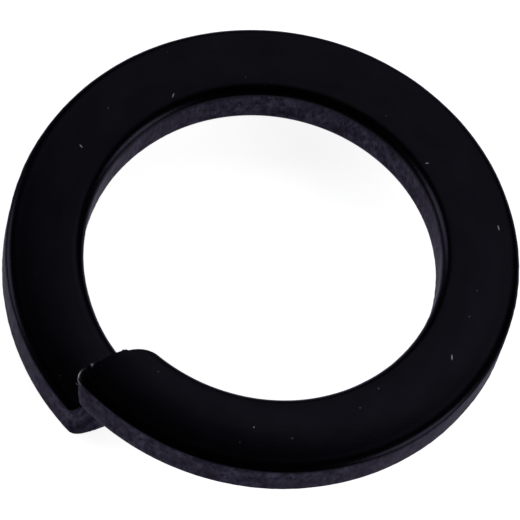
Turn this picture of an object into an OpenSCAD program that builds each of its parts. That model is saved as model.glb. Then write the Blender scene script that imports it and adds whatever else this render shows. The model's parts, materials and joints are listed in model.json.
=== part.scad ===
// Spring lock washer: one turn of flat spring wire, coiled as a left-hand helix and sheared
// to length, so that its raised end stands over its low end with a split between them.
// Millimetres. The bore's axis is Z, the washer's lowest point is at z = 0, and the split
// faces +X. Seen from above, the wire climbs clockwise from the low end to the raised end.

/* [Ring] */
// Bore, the hole that slips over the bolt
bore_d = 12.2; // [9:0.1:20]
// Width of the wire, across the ring
wire_w = 2.7; // [2.2:0.05:4]
// Climb of the coil in one full turn
rise = 2.5; // [1:0.05:4]

/* [Wire section] */
// Thickness of the wire along the bore, where coiling swells it
bore_t = 2.0; // [1.5:0.05:3]
// Thickness of the wire along the outer wall
outer_t = 1.6; // [1.5:0.05:3]
// Width of the rounding at the two bore edges, measured across the wire
bore_edge_w = 0.5; // [0.2:0.05:0.6]
// Height of the rounding at the two bore edges, measured along the axis
bore_edge_h = 0.4; // [0.2:0.05:0.5]
// Width of the rounding at the two outer edges, which rolls the face down to a crisp corner
outer_edge_w = 0.4; // [0.2:0.05:0.6]
// Height of the rounding at the two outer edges
outer_edge_h = 0.2; // [0.1:0.05:0.5]
// Swell of each flat face at its middle
crown = 0.05; // [0:0.01:0.1]

/* [Split] */
// Space along the wire between the two cuts; under 0, the loose washer's ends overlap a little
split_gap = -0.3; // [-0.4:0.05:1]
// Turn of the cuts away from a radial line, seen along the axis
cut_skew = 17; // [0:1:25]
// Lean of the cuts away from the axis, seen from outside
cut_lean = 11; // [0:1:20]
// Corner radius that the shear leaves at each end's bore side
bore_corner_r = 0.6; // [0.3:0.05:1]
// Corner radius at the raised end's outer side
raised_corner_r = 0.45; // [0.1:0.05:0.6]
// Corner radius at the low end's outer side
low_corner_r = 0.25; // [0.1:0.05:0.6]

/* [Hidden] */
// Steps around the coil
rings = 72;
// Facets on each rounded edge of the section
edge_steps = 3;
// Facets across each flat face
face_steps = 5;
// Spare width that the true cylinders of the two walls trim off the coil
spare = 0.05;
// How far those cylinders reach past the coil
past = 2;

half_w = wire_w / 2;
bore_r = bore_d / 2;
mid_r = bore_r + half_w;
outer_r = bore_r + wire_w;

// Half the wire's thickness at a place across it, u = 0 being its middle
function half_t(u) = (bore_t + (outer_t - bore_t) * (u + half_w) / wire_w) / 2;

// Upper rounded edge of width w and height h, where the wire's half thickness is t, from the wall
// to the face: [depth from the wall, height]. Its first chord is carried on past the wall.
first_a = 90 / edge_steps;
spare_drop = spare * sin(first_a) / (1 - cos(first_a));
function rounded_edge(w, h, t) = [
    [-spare, t - h - spare_drop * h / w],
    for (i = [1:edge_steps]) [w * (1 - cos(i * first_a)), t - h + h * sin(i * first_a)]
];
bore_edge = rounded_edge(bore_edge_w, bore_edge_h, half_t(-half_w));
outer_edge = rounded_edge(outer_edge_w, outer_edge_h, half_t(half_w));

// Upper outline of the section, from the bore's side to the outer side: [place across, height]
face_from = bore_edge_w - half_w;
face_to = half_w - outer_edge_w;
upper = [
    for (p = bore_edge) [p[0] - half_w, p[1]],
    for (i = [1:face_steps - 1])
        let (part = i / face_steps, u = face_from + part * (face_to - face_from))
        [u, half_t(u) + 4 * crown * part * (1 - part)],
    for (i = [edge_steps:-1:0]) [half_w - outer_edge[i][0], outer_edge[i][1]]
];
columns = len(upper);
section = [each upper, for (i = [columns - 1:-1:0]) [upper[i][0], -upper[i][1]]];
corners = len(section);

// How far a rounded corner of the end stands back from the cut, at a depth from the wall
function set_back(depth, r) =
    depth >= r ? 0 : depth < 0 ? r - depth : r - sqrt(r * r - (r - depth) * (r - depth));
function corner_back(u, outer_corner_r) =
    set_back(u + half_w, bore_corner_r) + set_back(half_w - u, outer_corner_r);

// Place of the cut along the wire, at a point of the section, and the coil's angle at each end
function cut_at(p) = -p[0] * tan(cut_skew) - p[1] * tan(cut_lean);
function to_angle(along, u) = along / (mid_r + u) * 180 / PI;
function low_angle(p) =
    to_angle(cut_at(p) - split_gap / 2 - corner_back(p[0], low_corner_r), p[0]);
function raised_angle(p) =
    to_angle(cut_at(p) + split_gap / 2 + corner_back(p[0], raised_corner_r), p[0]) - 360;

// Height that the coil's own curve gives at an angle, and the lift that puts its lowest point at 0
function climb(angle) = -rise * angle / 360;
lift = -min([for (p = section) climb(low_angle(p)) + p[1]]);

function coil_point(p, part_way) =
    let (angle = low_angle(p) + part_way * (raised_angle(p) - low_angle(p)), r = mid_r + p[0])
    [r * cos(angle), r * sin(angle), lift + climb(angle) + p[1]];

// The wire, a little wider than the ring, with a cap of upright strips on each cut end
module coil() {
    points = [for (i = [0:rings]) for (p = section) coil_point(p, i / rings)];
    last = rings * corners;
    sides = [for (i = [0:rings - 1]) for (j = [0:corners - 1])
        let (k = (j + 1) % corners, a = i * corners, b = a + corners)
        each [[a + j, a + k, b + k], [a + j, b + k, b + j]]];
    low_cap = [for (j = [0:columns - 2]) let (o = corners - 1)
        each [[j, o - j, o - j - 1], [j, o - j - 1, j + 1]]];
    raised_cap = [for (f = low_cap) [last + f[2], last + f[1], last + f[0]]];
    polyhedron(points, concat(sides, low_cap, raised_cap));
}

// Bore and outer wall as true cylinders, tall enough for the whole coil
module walls() {
    tall = lift + rise + bore_t + 2 * past;
    translate([0, 0, -past])
        difference() {
            cylinder(r = outer_r, h = tall, $fn = 360);
            translate([0, 0, -past]) cylinder(r = bore_r, h = tall + 2 * past, $fn = 360);
        }
}

module lock_washer() {
    color([0.09, 0.09, 0.12])
        intersection() {
            coil();
            walls();
        }
}

lock_washer();
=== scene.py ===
"""Looks of the spring lock washer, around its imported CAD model.

The washer is one piece of blackened spring wire. It is modelled here again with finer edges
than the CAD solid has: a wire section is screwed round the bore's axis, its two ends are
sheared off, and its walls get the upright grain and slight unevenness of rolled wire.
Everything is in metres, in the CAD model's own frame.
"""

import json
import math
import random

import bpy
from mathutils import Matrix, Vector, noise


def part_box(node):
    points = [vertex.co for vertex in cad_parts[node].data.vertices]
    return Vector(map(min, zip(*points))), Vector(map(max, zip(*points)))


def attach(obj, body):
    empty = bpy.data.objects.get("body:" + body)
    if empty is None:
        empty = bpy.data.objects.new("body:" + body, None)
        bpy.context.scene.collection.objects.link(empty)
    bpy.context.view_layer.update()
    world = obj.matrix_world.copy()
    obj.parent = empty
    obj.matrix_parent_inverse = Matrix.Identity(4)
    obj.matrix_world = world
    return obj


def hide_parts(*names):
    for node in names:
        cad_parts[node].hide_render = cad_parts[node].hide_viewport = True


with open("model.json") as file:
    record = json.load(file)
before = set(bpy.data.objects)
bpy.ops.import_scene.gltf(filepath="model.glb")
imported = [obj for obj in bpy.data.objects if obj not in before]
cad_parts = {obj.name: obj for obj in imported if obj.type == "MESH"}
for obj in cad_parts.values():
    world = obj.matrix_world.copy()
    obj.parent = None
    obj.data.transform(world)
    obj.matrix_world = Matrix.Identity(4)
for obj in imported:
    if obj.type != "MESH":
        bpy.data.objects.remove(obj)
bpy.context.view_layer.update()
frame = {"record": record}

CAD_NODE = "lock_washer"
MM = 0.001

# ---------------------------------------------------------------- sizes, from the frame
low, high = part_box(CAD_NODE)
bore_mount = [m for m in frame["record"]["mounts"] if m["name"] == "bore"][0]
BORE_R = bore_mount["dims"]["r_mm"] * MM
OUTER_R = high.x
WIRE_W = OUTER_R - BORE_R
HALF_W = WIRE_W / 2
MID_R = BORE_R + HALF_W

# ---------------------------------------------------------------- sizes of the wire and its cuts
# Thickness of the wire along the bore and along the outer wall
BORE_T = 2.0 * MM
OUTER_T = 1.6 * MM
# Roundings of the bore edges and of the outer edges, across the wire and along the axis
BORE_EDGE_W = 0.5 * MM
BORE_EDGE_H = 0.4 * MM
OUTER_EDGE_W = 0.4 * MM
OUTER_EDGE_H = 0.2 * MM
# Swell of each flat face at its middle
CROWN = 0.05 * MM
# Climb of the coil in one full turn
RISE = 2.5 * MM
# Space along the wire between the two cuts: the loose washer's ends overlap a little
SPLIT_GAP = -0.3 * MM
# Corner that the shear leaves at each end's bore side, and the softened edge of each cut
BORE_CORNER_R = 0.6 * MM
CUT_EDGE = 0.02 * MM
# The burr: how deep its band is, and how far its lip stands out beside the cut and at the corner
BURR_DEPTH = 0.12 * MM
BURR_REACH = 0.05 * MM
CORNER_LIP = 0.1 * MM

# Height of the wire's middle where it starts, at the split
LOW_Z = (high.z - RISE) / 2


class Cut:
    """One sheared end: the plane of its cut, which side of it is wire, and its outer corner."""

    def __init__(self, turns, sign, skew, lean, outer_corner_r):
        self.turns = turns
        self.sign = sign
        self.skew = math.tan(math.radians(skew))
        self.lean = math.tan(math.radians(lean))
        self.outer_corner_r = outer_corner_r
        self.middle = Vector((MID_R, sign * SPLIT_GAP / 2, LOW_Z + RISE * turns))

    def into_wire(self, turns, across, height):
        """How far inside the wire a place on it is, from this cut."""
        along = (self.turns - turns) * math.tau * (MID_R + across)
        return self.sign * (along + self.skew * across + self.lean * height) - SPLIT_GAP / 2


RAISED = Cut(turns=1, sign=1, skew=17, lean=11, outer_corner_r=0.45 * MM)
LOWER = Cut(turns=0, sign=-1, skew=17, lean=11, outer_corner_r=0.25 * MM)

# The coil is made this much longer at each end than its cut, in degrees
SPARE_TURN = 12
# Faces along the coil, on each rounded edge of the section, and cuts across its faces and walls
STEPS = 768
EDGE_SEGMENTS = 8
FACE_CUTS = 17
WALL_CUTS = 11
# Two places this near each other count as one
NEAR = 0.01 * MM
# A sheared end is one face with more corners than this, and every other face has only a few
SHEARED_CORNERS = 40
# Steps that hollow a sheared end: size beside the step before, and how much deeper it lies
HOLLOW_STEPS = ((0.94, 0.0), (0.8, 0.02 * MM), (0.7, 0.02 * MM), (0.6, 0.01 * MM))

# The lip's directions beside the cut and at the end's outer corner, and the lengths of its large
# ragged steps, its small ones and its bright spots of bare steel, which are partly painted glints
LIP_WAY = Vector((-0.3, -1, 0.2))
CORNER_LIP_WAY = Vector((0.5, -0.87, 0))
RAGGED_LARGE = 0.3 * MM
RAGGED_SMALL = 0.08 * MM
GLINT_SIZE = 0.11 * MM

# Upright grain of the walls: length along the wire, height, and depth
GRAIN_LENGTH = 0.18 * MM
GRAIN_HEIGHT = 0.7 * MM
GRAIN_DEPTH = 0.012 * MM
# Slow unevenness: length and height, width across, depth all over, and what the walls have more
WAVE_LENGTH = 1.6 * MM
WAVE_WIDTH = 1.2 * MM
WAVE_DEPTH = 0.004 * MM
WALL_WAVE_DEPTH = 0.014 * MM

# Flecks on the upper face, in millimetres: how far they spread from the wire's middle, their
# shortest and longest length, and their width
FLECK_COUNT = 7
FLECK_SPREAD = 0.8
FLECK_LENGTHS = (0.07, 0.25)
FLECK_WIDTH = 0.06
# About how high the upper face lies over the wire's middle, and how far up and down a fleck reaches
FACE_LEVEL = 1.0
FLECK_REACH = 0.6
# Specks: the space between them in millimetres
SPECK_SPACING = 0.9


def srgb(text):
    """A hex colour as linear red, green, blue and alpha."""
    values = [int(text[i:i + 2], 16) / 255 for i in (0, 2, 4)]
    return [v / 12.92 if v <= 0.04045 else ((v + 0.055) / 1.055) ** 2.4 for v in values] + [1.0]


def edit(obj, mode="VERT"):
    """Edit mode on one object, with nothing selected."""
    if bpy.context.object and bpy.context.object.mode != "OBJECT":
        bpy.ops.object.mode_set(mode="OBJECT")
    bpy.ops.object.select_all(action="DESELECT")
    bpy.context.view_layer.objects.active = obj
    obj.select_set(True)
    bpy.ops.object.mode_set(mode="EDIT")
    bpy.ops.mesh.select_mode(type=mode)
    bpy.ops.mesh.select_all(action="DESELECT")


def pick(obj, kind, test):
    """Selects the vertices, edges or faces that pass a test, while in edit mode."""
    bpy.ops.mesh.select_all(action="DESELECT")
    bpy.ops.object.mode_set(mode="OBJECT")
    for item in getattr(obj.data, kind):
        item.select = bool(test(item))
    bpy.ops.object.mode_set(mode="EDIT")


# ---------------------------------------------------------------- the wire's section
def half_thickness(across):
    """Half the wire's thickness, which falls from the bore to the outer wall."""
    return (BORE_T + (OUTER_T - BORE_T) * (across + HALF_W) / WIRE_W) / 2


def wire_section():
    """The section's outline in the XZ plane: thicker at the bore, rounded, with crowned faces."""
    bpy.ops.object.select_all(action="DESELECT")
    bpy.ops.mesh.primitive_plane_add(size=1, location=(MID_R, 0, LOW_Z), rotation=(math.pi / 2, 0, 0))
    wire = bpy.context.object
    wire.name = "washer"
    wire.scale = (WIRE_W, BORE_T, 1)
    bpy.ops.object.transform_apply(location=True, rotation=True, scale=True)
    mesh = wire.data
    edit(wire)
    pick(wire, "vertices", lambda v: v.co.x > MID_R)
    bpy.ops.transform.resize(value=(1, 1, OUTER_T / BORE_T), center_override=(OUTER_R, 0, LOW_Z))
    for side, width, height in ((1, OUTER_EDGE_W, OUTER_EDGE_H), (-1, BORE_EDGE_W, BORE_EDGE_H)):
        # Stretched in height while these edges are rounded, so that their rounding ends up oval
        bpy.ops.mesh.select_all(action="SELECT")
        bpy.ops.transform.resize(value=(1, 1, width / height), center_override=(MID_R, 0, LOW_Z))
        pick(wire, "vertices", lambda v: (v.co.x - MID_R) * side > HALF_W - NEAR)
        bpy.ops.mesh.bevel(offset=width, segments=EDGE_SEGMENTS, affect="VERTICES")
        bpy.ops.mesh.select_all(action="SELECT")
        bpy.ops.transform.resize(value=(1, 1, height / width), center_override=(MID_R, 0, LOW_Z))
    bpy.ops.mesh.delete(type="ONLY_FACE")
    bpy.ops.mesh.select_mode(type="EDGE")

    def span(edge):
        """How wide and how high an edge is."""
        a, b = (mesh.vertices[i].co for i in edge.vertices)
        return abs(a.x - b.x), abs(a.z - b.z)

    pick(wire, "edges", lambda e: span(e)[0] > 2 * BORE_EDGE_W)
    bpy.ops.mesh.subdivide(number_cuts=FACE_CUTS)
    pick(wire, "edges", lambda e: span(e)[1] > 2 * BORE_EDGE_H)
    bpy.ops.mesh.subdivide(number_cuts=WALL_CUTS)
    bpy.ops.object.mode_set(mode="OBJECT")
    face_from, face_to = BORE_R + BORE_EDGE_W, OUTER_R - OUTER_EDGE_W
    for v in mesh.vertices:
        part = min(max((v.co.x - face_from) / (face_to - face_from), 0), 1)
        v.co.z += math.copysign(4 * CROWN * part * (1 - part), v.co.z - LOW_Z)
    return wire


# ---------------------------------------------------------------- the coil
def coil(wire):
    """Screws the section clockwise round the bore's axis, a little more than one turn."""
    turn = math.radians(360 + 2 * SPARE_TURN)
    start = math.radians(SPARE_TURN)
    wire.data.transform(Matrix.Rotation(start, 4, "Z"))
    wire.data.transform(Matrix.Translation((0, 0, -RISE * SPARE_TURN / 360)))
    screw = wire.modifiers.new("coil", "SCREW")
    screw.axis = "Z"
    screw.angle = -turn
    screw.screw_offset = RISE * turn / math.tau
    screw.steps = STEPS
    screw.render_steps = STEPS
    screw.use_merge_vertices = False
    bpy.ops.object.modifier_apply(modifier=screw.name)
    return wire


def wire_place(co):
    """Where a point is on the wire: turns climbed from the split, place across from its middle,
    and height over its middle."""
    angle = -math.atan2(co.y, co.x)
    across = math.hypot(co.x, co.y) - MID_R
    turns = angle / math.tau
    level = (co.z - LOW_Z) / RISE
    turns += round(level - turns)
    return turns, across, co.z - LOW_Z - RISE * turns


# ---------------------------------------------------------------- the split
def set_back(distance, radius):
    """How far a rounded corner of this radius stands back, at a distance from the cut."""
    left = min(max(radius - distance, 0), radius)
    return radius - math.sqrt(radius * radius - left * left)


def near_cut(co):
    """The cut of the half turn that a point is on, and how far inside the wire it is from it."""
    turns, across, height = wire_place(co)
    cut = LOWER if turns < 0.5 else RAISED
    return cut, cut.into_wire(turns, across, height)


def refine_ends(wire):
    """Finer faces beside both cuts, for the corners and the burr."""
    edit(wire, "FACE")
    pick(wire, "polygons", lambda f: abs(near_cut(f.center)[1]) < BORE_CORNER_R)
    bpy.ops.mesh.subdivide(number_cuts=1)
    bpy.ops.object.mode_set(mode="OBJECT")


def round_end_corners(wire):
    """Draws the walls in towards each cut, the bore's side in a wide curve, as the shear leaves them."""
    for v in wire.data.vertices:
        across = wire_place(v.co)[1]
        cut, distance = near_cut(v.co)
        distance += CUT_EDGE
        if distance > BORE_CORNER_R:
            continue
        from_bore = min(max((across + HALF_W) / WIRE_W, 0), 1)
        move = set_back(distance, BORE_CORNER_R) * (1 - from_bore)
        move -= set_back(distance, cut.outer_corner_r) * from_bore
        scale = (MID_R + across + move) / (MID_R + across)
        v.co.x *= scale
        v.co.y *= scale


def shear_ends(wire):
    """Cuts both ends, softens the cuts' edges, and leaves each cut face slightly hollow."""
    edit(wire, "FACE")
    for cut in (LOWER, RAISED):
        pick(wire, "polygons", lambda f: near_cut(f.center)[0] is cut and near_cut(f.center)[1] < WIRE_W)
        bpy.ops.mesh.bisect(plane_co=cut.middle, plane_no=(cut.skew, 1, cut.lean), threshold=1e-7,
                            clear_inner=cut.sign > 0, clear_outer=cut.sign < 0)
        bpy.ops.mesh.edge_face_add()
    pick(wire, "polygons", lambda f: len(f.vertices) > SHEARED_CORNERS)
    bpy.ops.mesh.bevel(offset=CUT_EDGE, segments=2, affect="EDGES")
    for cut in (LOWER, RAISED):
        inward = Vector((cut.skew, 1, cut.lean)).normalized() * cut.sign
        for share, depth in HOLLOW_STEPS:
            pick(wire, "polygons",
                 lambda f: len(f.vertices) > SHEARED_CORNERS and near_cut(f.center)[0] is cut)
            bpy.ops.mesh.extrude_region_move(TRANSFORM_OT_translate={"value": inward * depth})
            bpy.ops.transform.resize(value=(share, share, share), center_override=cut.middle)
    bpy.ops.object.mode_set(mode="OBJECT")


# ---------------------------------------------------------------- burr and walls
def smooth_step(low_edge, high_edge, value):
    """From 0 at the low edge to 1 at the high edge, with a soft start and end."""
    part = min(max((value - low_edge) / (high_edge - low_edge), 0), 1)
    return part * part * (3 - 2 * part)


def top_height(across):
    """Height of the upper face over the wire's middle, down the roll of its outer edge."""
    roll = 1 - min(max(HALF_W - across, 0) / OUTER_EDGE_W, 1)
    return half_thickness(across) - OUTER_EDGE_H * (1 - math.sqrt(1 - roll * roll))


def raise_burr(wire):
    """Draws the raised end's upper cut edge out into the thin, ragged lip that the shear leaves,
    from the middle of the wire to the end's outer corner and round it, and marks in an attribute
    where that lip shows bright steel: partly bare steel and partly a painted highlight, in spots
    that stand in for the lip's glints."""
    bare = wire.data.attributes.new("bare", "FLOAT", "POINT")
    for v in wire.data.vertices:
        turns, across, height = wire_place(v.co)
        if turns < 0.9:
            continue
        distance = RAISED.into_wire(turns, across, height)
        corner_r = RAISED.outer_corner_r
        from_wall = HALF_W - set_back(distance, corner_r) - across
        at_cut = 1 - smooth_step(0, BURR_DEPTH, distance)
        at_wall = 1 - smooth_step(0, BURR_DEPTH, from_wall)
        at_corner = (1 - smooth_step(0.3 * corner_r, corner_r, distance)) * at_wall
        at_top = 1 - smooth_step(0, BURR_DEPTH, abs(top_height(across) - height))
        reach = smooth_step(0, 0.4 * HALF_W, across) * max(at_cut, at_corner) * at_top
        place = across - distance
        large = noise.noise(Vector((place / RAGGED_LARGE, 0, 0)))
        small = noise.noise(Vector((place / RAGGED_SMALL, 9, 0)))
        ragged = 0.5 + large + 1.2 * small
        at_end = smooth_step(0.6 * HALF_W, 0.9 * HALF_W, across)
        lip = LIP_WAY * BURR_REACH * (1 - at_end) + CORNER_LIP_WAY * CORNER_LIP * at_end
        v.co += lip * reach * max(ragged, at_end)
        # The lip's bright spots of bare steel are also a painted highlight: this noise places them as
        # its glints
        glint = smooth_step(0.12, 0.4, noise.noise(Vector((place / GLINT_SIZE, 4, 0))))
        bare.data[v.index].value = reach * max(glint, 0.3 * at_end)


def grain_walls(wire):
    """Gives the walls the upright grain of rolled and sheared wire and the faces a slight
    unevenness. Every point keeps how far it is on a wall, and its place along the wire in
    millimetres, for the finish to follow."""
    mesh = wire.data
    wall = mesh.attributes.new("wall", "FLOAT", "POINT")
    place = mesh.attributes.new("wire_mm", "FLOAT_VECTOR", "POINT")
    normals = [v.normal.copy() for v in mesh.vertices]
    for v, normal in zip(mesh.vertices, normals):
        turns, across, height = wire_place(v.co)
        edge_h = BORE_EDGE_H if across < 0 else OUTER_EDGE_H
        into_edge = (abs(height) - half_thickness(across) + edge_h) / edge_h
        wallness = max(1 - smooth_step(-0.1, 0.4, into_edge),
                       1 - smooth_step(0, 2 * CUT_EDGE, near_cut(v.co)[1]))
        wall.data[v.index].value = wallness
        along = turns * math.tau * MID_R
        place.data[v.index].vector = (along / MM, across / MM, height / MM)
        upright = Vector((along / GRAIN_LENGTH, height / GRAIN_HEIGHT, across / MM))
        slow = Vector((along / WAVE_LENGTH, height / WAVE_LENGTH, across / WAVE_WIDTH))
        v.co += normal * (GRAIN_DEPTH * wallness * noise.noise(upright)
                          + (WAVE_DEPTH + WALL_WAVE_DEPTH * wallness) * noise.noise(slow))


def rest_on_floor(wire):
    """Lowers or lifts the washer until its lowest point is on the floor."""
    lowest = min(v.co.z for v in wire.data.vertices)
    wire.data.transform(Matrix.Translation((0, 0, -lowest)))


# ---------------------------------------------------------------- material
def add(tree, kind, settings=None, **links):
    """Adds a node. Settings are its properties and input values. Links are sockets, by the input's
    name or, as i0 or i6, by its number."""
    node = tree.nodes.new(kind)
    for key, value in (settings or {}).items():
        if isinstance(key, int) or key in node.inputs:
            node.inputs[key].default_value = value
        else:
            setattr(node, key, value)
    for key, socket in links.items():
        index = int(key[1:]) if key[0] == "i" and key[1:].isdigit() else key
        tree.links.new(socket, node.inputs[index])
    return node


def flecks(count):
    """Flecks and short scratches for the upper face, scattered by seeded chance along the wire:
    turns, millimetres outwards from its middle, length, and degrees from the wire's direction."""
    chance = random.Random(1)
    for number in range(count):
        turns = (number + chance.random()) / count
        across = chance.uniform(-FLECK_SPREAD, FLECK_SPREAD)
        yield turns, across, chance.uniform(*FLECK_LENGTHS), chance.uniform(0, 90)


def blackened_steel():
    """Black oxide on spring steel, lightly oiled: deep black satin faces, and paler violet-grey
    walls with an upright, mottled grain, where the oxide took unevenly on the rolled sides."""
    material = bpy.data.materials.new("blackened_steel")
    material.use_nodes = True
    tree = material.node_tree
    shader = tree.nodes["Principled BSDF"]
    shader.inputs["Metallic"].default_value = 1.0
    shader.inputs["Specular Tint"].default_value = srgb("C8C5CE")
    place = add(tree, "ShaderNodeAttribute", {"attribute_name": "wire_mm"}).outputs["Vector"]
    wall = add(tree, "ShaderNodeAttribute", {"attribute_name": "wall"}).outputs["Fac"]
    bare = add(tree, "ShaderNodeAttribute", {"attribute_name": "bare"}).outputs["Fac"]

    def noise_at(width, length, height, detail):
        """Noise whose grains are this many millimetres along, across and up the wire."""
        grains = (1 / length, 1 / width, 1 / height)
        mapped = add(tree, "ShaderNodeMapping", {"Scale": grains}, Vector=place)
        return add(tree, "ShaderNodeTexNoise", {"Scale": 1.0, "Detail": detail, "Roughness": 0.6},
                   Vector=mapped.outputs["Vector"]).outputs["Fac"]

    def blend(amount, a, b):
        """A mix of two colours, each a hex value or a socket."""
        settings = {key: srgb(c) for key, c in ((6, a), (7, b)) if isinstance(c, str)}
        links = {key: c for key, c in (("i6", a), ("i7", b)) if not isinstance(c, str)}
        mixed = add(tree, "ShaderNodeMix", {"data_type": "RGBA", **settings}, i0=amount, **links)
        return mixed.outputs[2]

    def stretch(zero_at, one_at, value):
        """A value brought to run from 0 to 1 between two of its own values, and held there beyond."""
        return add(tree, "ShaderNodeMapRange", {"From Min": zero_at, "From Max": one_at},
                   Value=value).outputs["Result"]

    def mark(turns, across, length, turned):
        """A fleck or scratch on the upper face, by place and length in millimetres, 1 in its middle."""
        at = (turns * math.tau * MID_R / MM, across, FACE_LEVEL)
        size = (length / 2, FLECK_WIDTH / 2, FLECK_REACH)
        lie = {"Location": at, "Rotation": (0, 0, math.radians(turned)), "Scale": size}
        mapped = add(tree, "ShaderNodeMapping", {"vector_type": "TEXTURE", **lie}, Vector=place)
        far = add(tree, "ShaderNodeVectorMath", {"operation": "LENGTH"}, Vector=mapped.outputs["Vector"])
        return stretch(1.0, 0.5, far.outputs["Value"])

    grain = stretch(0.35, 0.68, noise_at(width=0.4, length=0.14, height=0.3, detail=3.0))
    patches = stretch(0.3, 0.7, noise_at(width=1.5, length=1.1, height=0.8, detail=2.0))
    clouds = noise_at(width=0.8, length=1.4, height=1.0, detail=3.0)
    wall_tone = blend(patches, blend(grain, "08070C", "1E1C28"), blend(grain, "15141E", "3A3847"))
    face_tone = blend(clouds, "121118", "1C1B22")
    tone = blend(wall, face_tone, wall_tone)
    for fleck in flecks(FLECK_COUNT):
        tone = blend(mark(*fleck), tone, "8E8A98")
    specks = add(tree, "ShaderNodeTexVoronoi", {"Scale": 1 / SPECK_SPACING}, Vector=place)
    tone = blend(stretch(0.05, 0.02, specks.outputs["Distance"]), tone, "4A4854")
    # Bright bare steel on the burr's lip, partly a painted highlight: its spots stand in for the lip's
    # glints
    tone = blend(bare, tone, "DAD6E2")
    tree.links.new(tone, shader.inputs["Base Color"])
    rough = add(tree, "ShaderNodeMapRange", {"To Min": 0.26, "To Max": 0.55}, Value=wall)
    tree.links.new(rough.outputs["Result"], shader.inputs["Roughness"])
    grit = noise_at(width=0.06, length=0.06, height=0.06, detail=2.0)
    bump = add(tree, "ShaderNodeBump", {"Strength": 0.6, "Distance": 0.006 * MM}, Height=grit)
    tree.links.new(bump.outputs["Normal"], shader.inputs["Normal"])
    return material


# ---------------------------------------------------------------- the washer
washer = coil(wire_section())
refine_ends(washer)
round_end_corners(washer)
shear_ends(washer)
raise_burr(washer)
grain_walls(washer)
rest_on_floor(washer)
washer.data.materials.append(blackened_steel())
bpy.ops.object.select_all(action="DESELECT")
washer.select_set(True)
bpy.context.view_layer.objects.active = washer
bpy.ops.object.shade_smooth_by_angle(angle=math.radians(40))
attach(washer, "root")
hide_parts(CAD_NODE)


# ---------------------------------------------------------------- floor, light and camera
def direction(azimuth, elevation):
    """Unit vector away from the washer. Angles in degrees, azimuth from +X."""
    a, e = math.radians(azimuth), math.radians(elevation)
    return Vector((math.cos(e) * math.cos(a), math.cos(e) * math.sin(a), math.sin(e)))


def area_light(name, azimuth, elevation, distance, size, watts):
    """A round soft box that faces the washer, with its distance and size in metres."""
    place = direction(azimuth, elevation) * distance
    data = bpy.data.lights.new(name, "AREA")
    data.shape = "DISK"
    data.size = size
    data.energy = watts
    light = bpy.data.objects.new(name, data)
    light.location = place
    light.rotation_euler = (-place).to_track_quat("-Z", "Y").to_euler()
    bpy.context.collection.objects.link(light)


def light_table():
    """A sheet of white opal acrylic that is lit from below, so that it shows almost no shadow."""
    material = bpy.data.materials.new("opal_acrylic")
    material.use_nodes = True
    shader = material.node_tree.nodes["Principled BSDF"]
    shader.inputs["Base Color"].default_value = srgb("F4F4F6")
    shader.inputs["Roughness"].default_value = 0.9
    shader.inputs["Specular IOR Level"].default_value = 0.0
    shader.inputs["Emission Color"].default_value = srgb("FFFFFF")
    shader.inputs["Emission Strength"].default_value = 0.88
    return material


bpy.ops.object.select_all(action="DESELECT")
bpy.ops.mesh.primitive_plane_add(size=1.2, location=(0, 0, 0))
floor = bpy.context.object
floor.name = "floor"
floor.data.materials.append(light_table())

world = bpy.data.worlds.new("studio")
world.use_nodes = True
world.node_tree.nodes["Background"].inputs["Color"].default_value = srgb("FFFFFF")
world.node_tree.nodes["Background"].inputs["Strength"].default_value = 0.03
bpy.context.scene.world = world
bpy.context.scene.view_settings.view_transform = "Standard"

# The camera looks down from 30 degrees round from the split and 62 degrees up, rolled about its own
# axis. The angles are in degrees and the lens is in millimetres.
VIEW_AZIMUTH = 29.75
VIEW_ELEVATION = 62.27
VIEW_ROLL = 16.34
VIEW_DISTANCE = 203.7 * MM
VIEW_TARGET = Vector((0, 0, 2.35 * MM))
VIEW_LENS = 411

# The far box is what the upper faces reflect, and the two low boxes light the walls from the sides
area_light("far_box", VIEW_AZIMUTH + 180, elevation=45, distance=0.50, size=0.56, watts=0.41)
area_light("high_fill", VIEW_AZIMUTH + 150, elevation=60, distance=0.50, size=0.20, watts=0.03)
area_light("left_box", VIEW_AZIMUTH - 95, elevation=25, distance=0.45, size=0.25, watts=0.52)
area_light("right_box", VIEW_AZIMUTH + 80, elevation=25, distance=0.45, size=0.25, watts=0.52)

camera_data = bpy.data.cameras.new("camera")
camera_data.sensor_width = 36
camera_data.lens = VIEW_LENS
camera_data.clip_start = 0.01
camera_data.shift_x = -0.0036
camera_data.shift_y = -0.0046
camera = bpy.data.objects.new("camera", camera_data)
back = direction(VIEW_AZIMUTH, VIEW_ELEVATION)
camera.location = VIEW_TARGET + back * VIEW_DISTANCE
turn = back.to_track_quat("Z", "Y").to_matrix() @ Matrix.Rotation(math.radians(VIEW_ROLL), 3, "Z")
camera.rotation_euler = turn.to_euler()
bpy.context.collection.objects.link(camera)
bpy.context.scene.camera = camera
